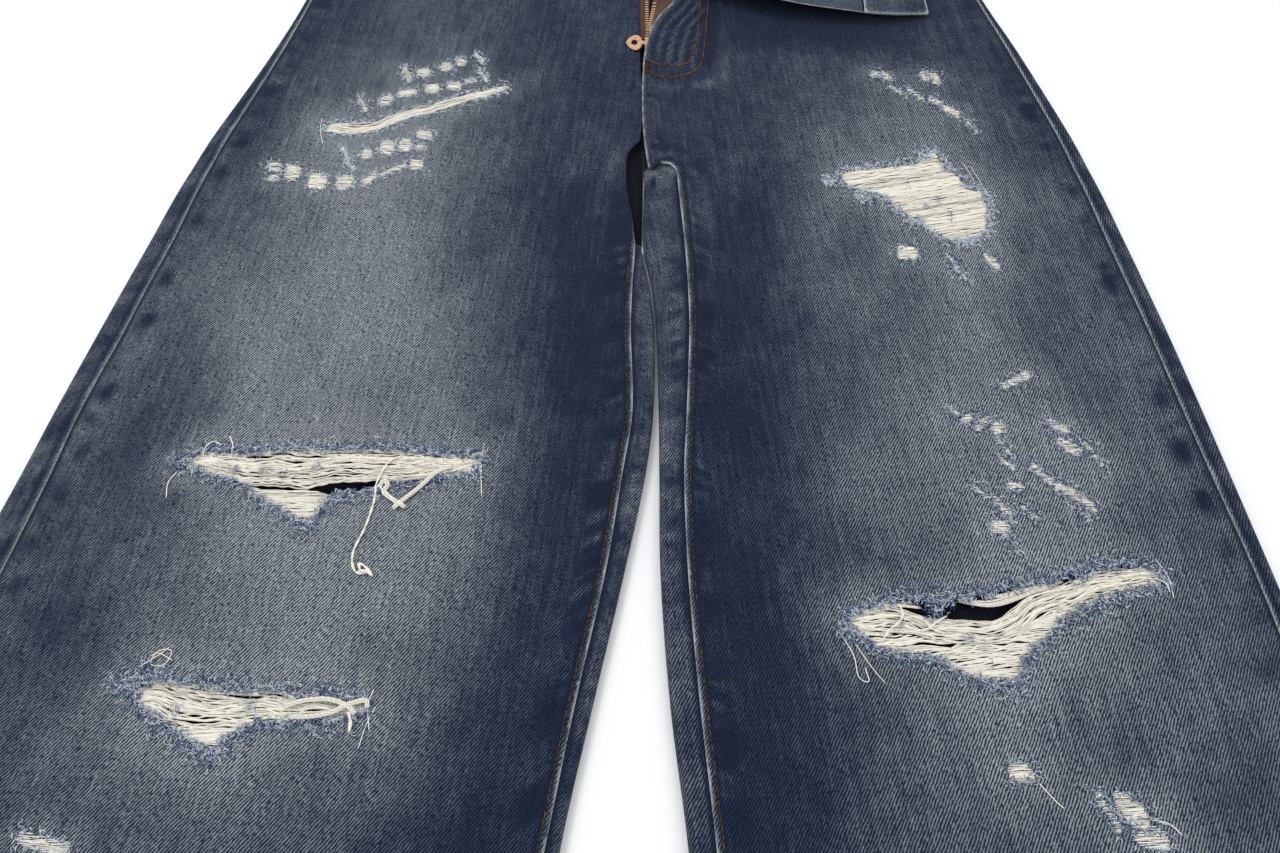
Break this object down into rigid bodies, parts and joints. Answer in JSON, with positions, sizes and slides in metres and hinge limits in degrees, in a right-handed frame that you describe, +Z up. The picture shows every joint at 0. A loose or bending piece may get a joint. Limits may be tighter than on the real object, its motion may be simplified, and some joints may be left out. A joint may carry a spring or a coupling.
{
  "type": "ripped jeans",
  "caption": "Wide-leg blue jeans, ripped and faded, lying flat with the front up, the fly unzipped and one waist corner turned back.",
  "frame": {"origin": "middle of the garment's box on the surface it lies on", "axes": "+Z up, +Y from the hems to the waist, +X towards the wearer's left leg"},
  "size_m": [0.683, 1.0731, 0.0254],
  "materials": {
    "denim_front": "faded blue twill denim with worn knees and rips",
    "denim_back": "less faded blue twill denim",
    "denim_band": "blue denim folded double, with bleached edges",
    "denim_dark": "dark unfaded denim",
    "denim_inside": "pale grey-blue reverse side of denim",
    "weft_thread": "cream cotton weft thread, loose and frayed",
    "blue_fuzz": "frayed pale blue warp fuzz",
    "topstitch": "rust-brown topstitching thread",
    "zip_tape": "tan woven zip tape",
    "copper": "copper-coloured zip metal, worn",
    "button_metal": "antique copper tack button, plain"
  },
  "bodies": {
    "garment": {"front_leg_right": "denim_front", "front_leg_left": "denim_front", "back_leg_right": "denim_back", "back_leg_left": "denim_back", "yoke_right": "denim_back", "yoke_left": "denim_back", "waistband": "denim_band", "belt_loop_front_right": "denim_band", "belt_loop_front_left": "denim_band", "belt_loop_back_right": "denim_band", "belt_loop_back_middle": "denim_band", "belt_loop_back_left": "denim_band", "pocket_facing_right": "denim_dark", "pocket_facing_left": "denim_dark", "back_pocket_right": "denim_back", "back_pocket_left": "denim_back", "fly_shield": "denim_dark", "zip_tape_right": "zip_tape", "zip_tape_left": "zip_tape", "zip_slider": "copper", "tack_button": "button_metal"},
    "pull_tab": {"zip_pull": "copper"}
  },
  "joints": [
    {"name": "pull_lift", "type": "hinge", "parent": "garment", "child": "pull_tab", "pos_m": [0.0274, 0.3439, 0.0084], "axis": [0, 1, 0], "range_deg": [0, 40]}
  ]
}
